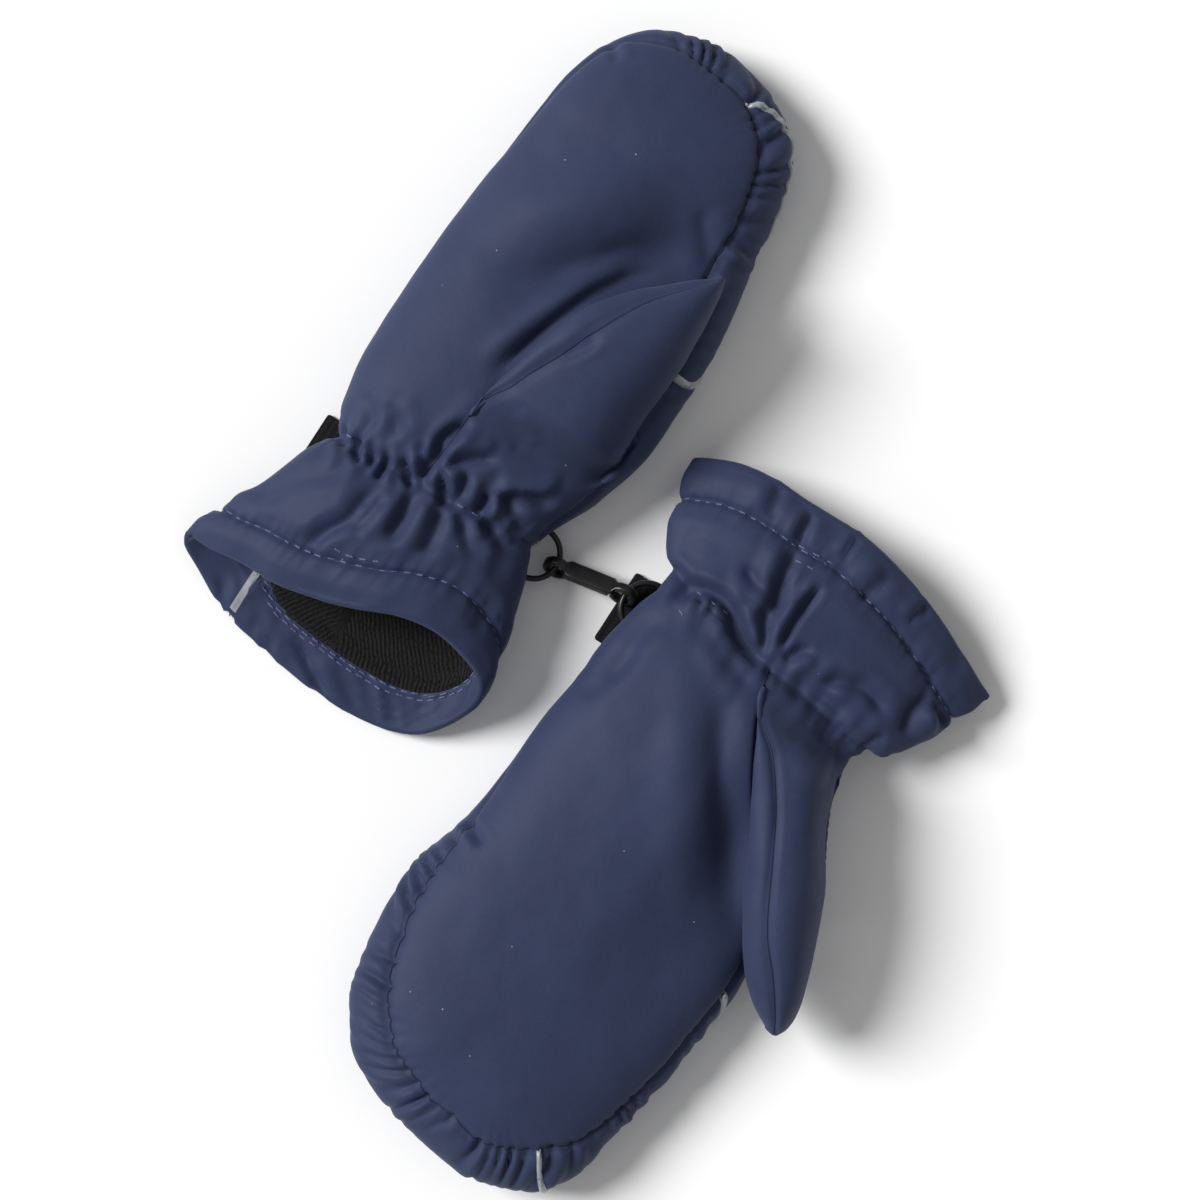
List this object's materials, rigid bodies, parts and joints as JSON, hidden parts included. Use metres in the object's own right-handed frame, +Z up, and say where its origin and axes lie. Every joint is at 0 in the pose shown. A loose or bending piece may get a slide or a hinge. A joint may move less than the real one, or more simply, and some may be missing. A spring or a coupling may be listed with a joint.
{
  "type": "pair of padded mittens",
  "caption": "Pair of children's padded ski mittens, palms up and clipped together at the wrists, with thumbs, elasticated wrists and flared cuffs.",
  "frame": {"origin": "centre of the pair's box at the surface it lies on", "axes": "+Z up from the surface, +Y towards the right mitten's finger tips, +X from the right mitten towards the left one"},
  "size_m": [0.2432, 0.3428, 0.0471],
  "materials": {
    "right_palm": "smooth matte microfibre",
    "right_thumb_side": "smooth matte microfibre",
    "right_thumb_leaf": "smooth matte microfibre",
    "right_back_main": "smooth matte microfibre",
    "right_back_crescent": "smooth matte microfibre",
    "right_back_cuff": "smooth matte microfibre",
    "right_lining": "brushed fleece",
    "right_piping_crescent": "reflective tape",
    "right_piping_cuff": "reflective tape",
    "left_palm": "smooth matte microfibre",
    "left_thumb_side": "smooth matte microfibre",
    "left_thumb_leaf": "smooth matte microfibre",
    "left_back_main": "smooth matte microfibre",
    "left_back_crescent": "smooth matte microfibre",
    "left_back_cuff": "smooth matte microfibre",
    "left_lining": "brushed fleece",
    "left_piping_crescent": "reflective tape",
    "left_piping_cuff": "reflective tape",
    "right_strap": "woven webbing",
    "left_strap": "woven webbing",
    "right_ring_loop": "woven webbing",
    "left_ring_loop": "woven webbing",
    "right_ring": "moulded, slightly glossy",
    "left_ring": "moulded, slightly glossy",
    "clip": "moulded, slightly glossy"
  },
  "bodies": {
    "root": {"right_palm": "right_palm", "right_thumb_side": "right_thumb_side", "right_thumb_leaf": "right_thumb_leaf", "right_back_main": "right_back_main", "right_back_crescent": "right_back_crescent", "right_back_cuff": "right_back_cuff", "right_lining": "right_lining", "right_piping_crescent": "right_piping_crescent", "right_piping_cuff": "right_piping_cuff", "left_palm": "left_palm", "left_thumb_side": "left_thumb_side", "left_thumb_leaf": "left_thumb_leaf", "left_back_main": "left_back_main", "left_back_crescent": "left_back_crescent", "left_back_cuff": "left_back_cuff", "left_lining": "left_lining", "left_piping_crescent": "left_piping_crescent", "left_piping_cuff": "left_piping_cuff", "right_strap": "right_strap", "left_strap": "left_strap", "right_ring_loop": "right_ring_loop", "left_ring_loop": "left_ring_loop", "right_ring": "right_ring", "left_ring": "left_ring", "clip": "clip"}
  },
  "joints": []
}
